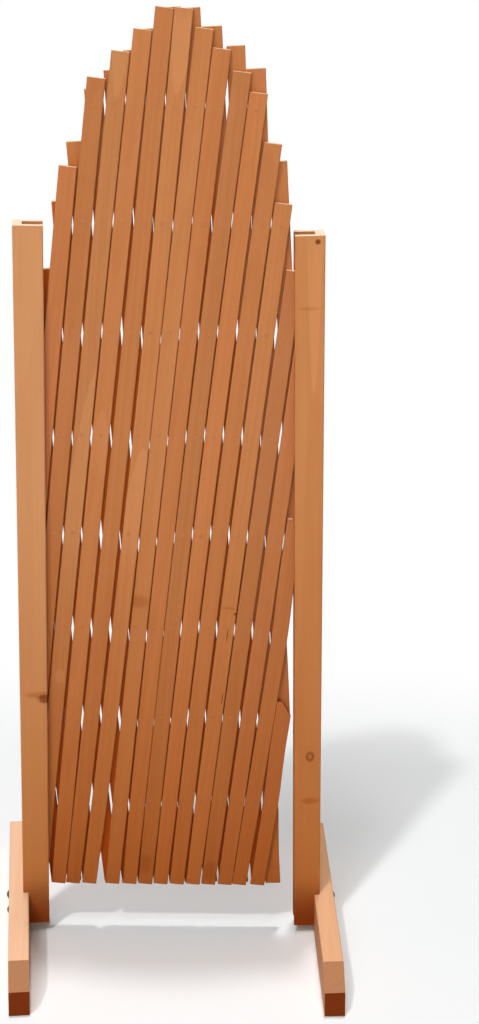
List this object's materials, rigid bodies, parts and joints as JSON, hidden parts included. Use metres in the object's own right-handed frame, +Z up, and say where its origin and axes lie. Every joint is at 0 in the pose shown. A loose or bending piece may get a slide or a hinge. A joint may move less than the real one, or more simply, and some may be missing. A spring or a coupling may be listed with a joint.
{
  "type": "expanding trellis fence panel",
  "caption": "Folding lazy-tongs trellis of thin wooden slats with an arched top, held between two channelled posts on front-to-back feet.",
  "frame": {"origin": "on the ground, below the middle of the folded fence", "axes": "+X along the fence to the right as seen from the front, +Y to the back, +Z up"},
  "size_m": [0.3858, 0.3054, 1.0142],
  "materials": {
    "slat_wood": "satin",
    "post_wood": "satin",
    "foot_wood": "satin",
    "bolt_steel": "dark",
    "nail_steel": "dull"
  },
  "bodies": {
    "left_end": {"left_post": "post_wood", "left_foot": "foot_wood", "left_foot_bolts": "bolt_steel", "left_foot_nuts": "bolt_steel", "left_pin": "nail_steel"},
    "right_end": {"right_post": "post_wood", "right_foot": "foot_wood", "right_foot_bolts": "bolt_steel", "right_foot_nuts": "bolt_steel", "right_pin": "nail_steel"},
    "front_slat_01": {"front_slat_01": "slat_wood", "nails_01": "nail_steel"},
    "back_slat_01": {"back_slat_01": "slat_wood"},
    "front_slat_02": {"front_slat_02": "slat_wood", "nails_02": "nail_steel"},
    "back_slat_02": {"back_slat_02": "slat_wood"},
    "front_slat_03": {"front_slat_03": "slat_wood", "nails_03": "nail_steel"},
    "back_slat_03": {"back_slat_03": "slat_wood"},
    "front_slat_04": {"front_slat_04": "slat_wood", "nails_04": "nail_steel"},
    "back_slat_04": {"back_slat_04": "slat_wood"},
    "front_slat_05": {"front_slat_05": "slat_wood", "nails_05": "nail_steel"},
    "back_slat_05": {"back_slat_05": "slat_wood"},
    "front_slat_06": {"front_slat_06": "slat_wood", "nails_06": "nail_steel"},
    "back_slat_06": {"back_slat_06": "slat_wood"},
    "front_slat_07": {"front_slat_07": "slat_wood", "nails_07": "nail_steel"},
    "back_slat_07": {"back_slat_07": "slat_wood"},
    "front_slat_08": {"front_slat_08": "slat_wood", "nails_08": "nail_steel"},
    "back_slat_08": {"back_slat_08": "slat_wood"},
    "front_slat_09": {"front_slat_09": "slat_wood", "nails_09": "nail_steel"},
    "back_slat_09": {"back_slat_09": "slat_wood"},
    "front_slat_10": {"front_slat_10": "slat_wood", "nails_10": "nail_steel"},
    "back_slat_10": {"back_slat_10": "slat_wood"},
    "front_slat_11": {"front_slat_11": "slat_wood", "nails_11": "nail_steel"},
    "back_slat_11": {"back_slat_11": "slat_wood"},
    "front_slat_12": {"front_slat_12": "slat_wood", "nails_12": "nail_steel"},
    "back_slat_12": {"back_slat_12": "slat_wood"},
    "front_slat_13": {"front_slat_13": "slat_wood", "nails_13": "nail_steel"},
    "back_slat_13": {"back_slat_13": "slat_wood"},
    "front_slat_14": {"front_slat_14": "slat_wood", "nails_14": "nail_steel"},
    "back_slat_14": {"back_slat_14": "slat_wood"},
    "front_slat_15": {"front_slat_15": "slat_wood", "nails_15": "nail_steel"},
    "back_slat_15": {"back_slat_15": "slat_wood"},
    "front_slat_16": {"front_slat_16": "slat_wood", "nails_16": "nail_steel"},
    "back_slat_16": {"back_slat_16": "slat_wood"}
  },
  "joints": [
    {"name": "left_post_pivot", "type": "hinge", "parent": "left_end", "child": "back_slat_03", "pos_m": [-0.14483, 0.00124, 0.71002], "axis": [0, -1, 0], "range_deg": [0, 29.9]},
    {"name": "front_slat_01_pivot", "type": "hinge", "parent": "back_slat_03", "child": "front_slat_01", "pos_m": [-0.1354, 0.00124, 0.60244], "axis": [0, 1, 0], "range_deg": [0, 59.8]},
    {"name": "front_slat_02_pivot", "type": "hinge", "parent": "back_slat_03", "child": "front_slat_02", "pos_m": [-0.12596, 0.00124, 0.49485], "axis": [0, 1, 0], "range_deg": [0, 59.8]},
    {"name": "front_slat_03_pivot", "type": "hinge", "parent": "back_slat_03", "child": "front_slat_03", "pos_m": [-0.11653, 0.00124, 0.38726], "axis": [0, 1, 0], "range_deg": [0, 59.8]},
    {"name": "front_slat_04_pivot", "type": "hinge", "parent": "back_slat_03", "child": "front_slat_04", "pos_m": [-0.10709, 0.00124, 0.27967], "axis": [0, 1, 0], "range_deg": [0, 59.8]},
    {"name": "front_slat_05_pivot", "type": "hinge", "parent": "back_slat_03", "child": "front_slat_05", "pos_m": [-0.09766, 0.00124, 0.17209], "axis": [0, 1, 0], "range_deg": [0, 59.8]},
    {"name": "front_slat_06_pivot", "type": "hinge", "parent": "back_slat_03", "child": "front_slat_06", "pos_m": [-0.08822, 0.00124, 0.0645], "axis": [0, 1, 0], "range_deg": [0, 59.8]},
    {"name": "back_slat_04_pivot", "type": "hinge", "parent": "front_slat_06", "child": "back_slat_04", "pos_m": [-0.07878, 0.00124, 0.17209], "axis": [0, -1, 0], "range_deg": [0, 59.8]},
    {"name": "back_slat_05_pivot", "type": "hinge", "parent": "front_slat_06", "child": "back_slat_05", "pos_m": [-0.06935, 0.00124, 0.27967], "axis": [0, -1, 0], "range_deg": [0, 59.8]},
    {"name": "back_slat_06_pivot", "type": "hinge", "parent": "front_slat_06", "child": "back_slat_06", "pos_m": [-0.05991, 0.00124, 0.38726], "axis": [0, -1, 0], "range_deg": [0, 59.8]},
    {"name": "back_slat_07_pivot", "type": "hinge", "parent": "front_slat_06", "child": "back_slat_07", "pos_m": [-0.05047, 0.00124, 0.49485], "axis": [0, -1, 0], "range_deg": [0, 59.8]},
    {"name": "back_slat_08_pivot", "type": "hinge", "parent": "front_slat_06", "child": "back_slat_08", "pos_m": [-0.04104, 0.00124, 0.60244], "axis": [0, -1, 0], "range_deg": [0, 59.8]},
    {"name": "back_slat_09_pivot", "type": "hinge", "parent": "front_slat_06", "child": "back_slat_09", "pos_m": [-0.0316, 0.00124, 0.71002], "axis": [0, -1, 0], "range_deg": [0, 59.8]},
    {"name": "back_slat_10_pivot", "type": "hinge", "parent": "front_slat_06", "child": "back_slat_10", "pos_m": [-0.02217, 0.00124, 0.81761], "axis": [0, -1, 0], "range_deg": [0, 59.8]},
    {"name": "back_slat_11_pivot", "type": "hinge", "parent": "front_slat_06", "child": "back_slat_11", "pos_m": [-0.01273, 0.00124, 0.9252], "axis": [0, -1, 0], "range_deg": [0, 59.8]},
    {"name": "front_slat_07_pivot", "type": "hinge", "parent": "back_slat_11", "child": "front_slat_07", "pos_m": [-0.00329, 0.00124, 0.81761], "axis": [0, 1, 0], "range_deg": [0, 59.8]},
    {"name": "front_slat_08_pivot", "type": "hinge", "parent": "back_slat_11", "child": "front_slat_08", "pos_m": [0.00614, 0.00124, 0.71002], "axis": [0, 1, 0], "range_deg": [0, 59.8]},
    {"name": "front_slat_09_pivot", "type": "hinge", "parent": "back_slat_11", "child": "front_slat_09", "pos_m": [0.01558, 0.00124, 0.60244], "axis": [0, 1, 0], "range_deg": [0, 59.8]},
    {"name": "front_slat_10_pivot", "type": "hinge", "parent": "back_slat_11", "child": "front_slat_10", "pos_m": [0.02501, 0.00124, 0.49485], "axis": [0, 1, 0], "range_deg": [0, 59.8]},
    {"name": "front_slat_11_pivot", "type": "hinge", "parent": "back_slat_11", "child": "front_slat_11", "pos_m": [0.03445, 0.00124, 0.38726], "axis": [0, 1, 0], "range_deg": [0, 59.8]},
    {"name": "front_slat_12_pivot", "type": "hinge", "parent": "back_slat_11", "child": "front_slat_12", "pos_m": [0.04389, 0.00124, 0.27967], "axis": [0, 1, 0], "range_deg": [0, 59.8]},
    {"name": "front_slat_13_pivot", "type": "hinge", "parent": "back_slat_11", "child": "front_slat_13", "pos_m": [0.05332, 0.00124, 0.17209], "axis": [0, 1, 0], "range_deg": [0, 59.8]},
    {"name": "front_slat_14_pivot", "type": "hinge", "parent": "back_slat_11", "child": "front_slat_14", "pos_m": [0.06276, 0.00124, 0.0645], "axis": [0, 1, 0], "range_deg": [0, 59.8]},
    {"name": "back_slat_12_pivot", "type": "hinge", "parent": "front_slat_14", "child": "back_slat_12", "pos_m": [0.07219, 0.00124, 0.17209], "axis": [0, -1, 0], "range_deg": [0, 59.8]},
    {"name": "back_slat_13_pivot", "type": "hinge", "parent": "front_slat_14", "child": "back_slat_13", "pos_m": [0.08163, 0.00124, 0.27967], "axis": [0, -1, 0], "range_deg": [0, 59.8]},
    {"name": "back_slat_14_pivot", "type": "hinge", "parent": "front_slat_14", "child": "back_slat_14", "pos_m": [0.09107, 0.00124, 0.38726], "axis": [0, -1, 0], "range_deg": [0, 59.8]},
    {"name": "back_slat_15_pivot", "type": "hinge", "parent": "front_slat_14", "child": "back_slat_15", "pos_m": [0.1005, 0.00124, 0.49485], "axis": [0, -1, 0], "range_deg": [0, 59.8]},
    {"name": "back_slat_16_pivot", "type": "hinge", "parent": "front_slat_14", "child": "back_slat_16", "pos_m": [0.10994, 0.00124, 0.60244], "axis": [0, -1, 0], "range_deg": [0, 59.8]},
    {"name": "front_slat_15_pivot", "type": "hinge", "parent": "back_slat_16", "child": "front_slat_15", "pos_m": [0.11937, 0.00124, 0.49485], "axis": [0, 1, 0], "range_deg": [0, 59.8]},
    {"name": "front_slat_16_pivot", "type": "hinge", "parent": "back_slat_15", "child": "front_slat_16", "pos_m": [0.11937, 0.00124, 0.27967], "axis": [0, 1, 0], "range_deg": [0, 59.8]},
    {"name": "back_slat_02_pivot", "type": "hinge", "parent": "front_slat_01", "child": "back_slat_02", "pos_m": [-0.14483, 0.00124, 0.49485], "axis": [0, -1, 0], "range_deg": [0, 59.8]},
    {"name": "back_slat_01_pivot", "type": "hinge", "parent": "front_slat_02", "child": "back_slat_01", "pos_m": [-0.14483, 0.00124, 0.27967], "axis": [0, -1, 0], "range_deg": [0, 59.8]},
    {"name": "right_post_pivot", "type": "hinge", "parent": "front_slat_14", "child": "right_end", "pos_m": [0.11937, 0.00124, 0.71002], "axis": [0, -1, 0], "range_deg": [0, 26.9]}
  ],
  "couplings": [
    {"joint": "front_slat_01_pivot", "follows": "left_post_pivot", "ratio": 2},
    {"joint": "front_slat_02_pivot", "follows": "left_post_pivot", "ratio": 2},
    {"joint": "front_slat_03_pivot", "follows": "left_post_pivot", "ratio": 2},
    {"joint": "front_slat_04_pivot", "follows": "left_post_pivot", "ratio": 2},
    {"joint": "front_slat_05_pivot", "follows": "left_post_pivot", "ratio": 2},
    {"joint": "front_slat_06_pivot", "follows": "left_post_pivot", "ratio": 2},
    {"joint": "back_slat_04_pivot", "follows": "left_post_pivot", "ratio": 2},
    {"joint": "back_slat_05_pivot", "follows": "left_post_pivot", "ratio": 2},
    {"joint": "back_slat_06_pivot", "follows": "left_post_pivot", "ratio": 2},
    {"joint": "back_slat_07_pivot", "follows": "left_post_pivot", "ratio": 2},
    {"joint": "back_slat_08_pivot", "follows": "left_post_pivot", "ratio": 2},
    {"joint": "back_slat_09_pivot", "follows": "left_post_pivot", "ratio": 2},
    {"joint": "back_slat_10_pivot", "follows": "left_post_pivot", "ratio": 2},
    {"joint": "back_slat_11_pivot", "follows": "left_post_pivot", "ratio": 2},
    {"joint": "front_slat_07_pivot", "follows": "left_post_pivot", "ratio": 2},
    {"joint": "front_slat_08_pivot", "follows": "left_post_pivot", "ratio": 2},
    {"joint": "front_slat_09_pivot", "follows": "left_post_pivot", "ratio": 2},
    {"joint": "front_slat_10_pivot", "follows": "left_post_pivot", "ratio": 2},
    {"joint": "front_slat_11_pivot", "follows": "left_post_pivot", "ratio": 2},
    {"joint": "front_slat_12_pivot", "follows": "left_post_pivot", "ratio": 2},
    {"joint": "front_slat_13_pivot", "follows": "left_post_pivot", "ratio": 2},
    {"joint": "front_slat_14_pivot", "follows": "left_post_pivot", "ratio": 2},
    {"joint": "back_slat_12_pivot", "follows": "left_post_pivot", "ratio": 2},
    {"joint": "back_slat_13_pivot", "follows": "left_post_pivot", "ratio": 2},
    {"joint": "back_slat_14_pivot", "follows": "left_post_pivot", "ratio": 2},
    {"joint": "back_slat_15_pivot", "follows": "left_post_pivot", "ratio": 2},
    {"joint": "back_slat_16_pivot", "follows": "left_post_pivot", "ratio": 2},
    {"joint": "front_slat_15_pivot", "follows": "left_post_pivot", "ratio": 2},
    {"joint": "front_slat_16_pivot", "follows": "left_post_pivot", "ratio": 2},
    {"joint": "back_slat_02_pivot", "follows": "left_post_pivot", "ratio": 2},
    {"joint": "back_slat_01_pivot", "follows": "left_post_pivot", "ratio": 2},
    {"joint": "right_post_pivot", "follows": "left_post_pivot", "ratio": 0.89967}
  ]
}
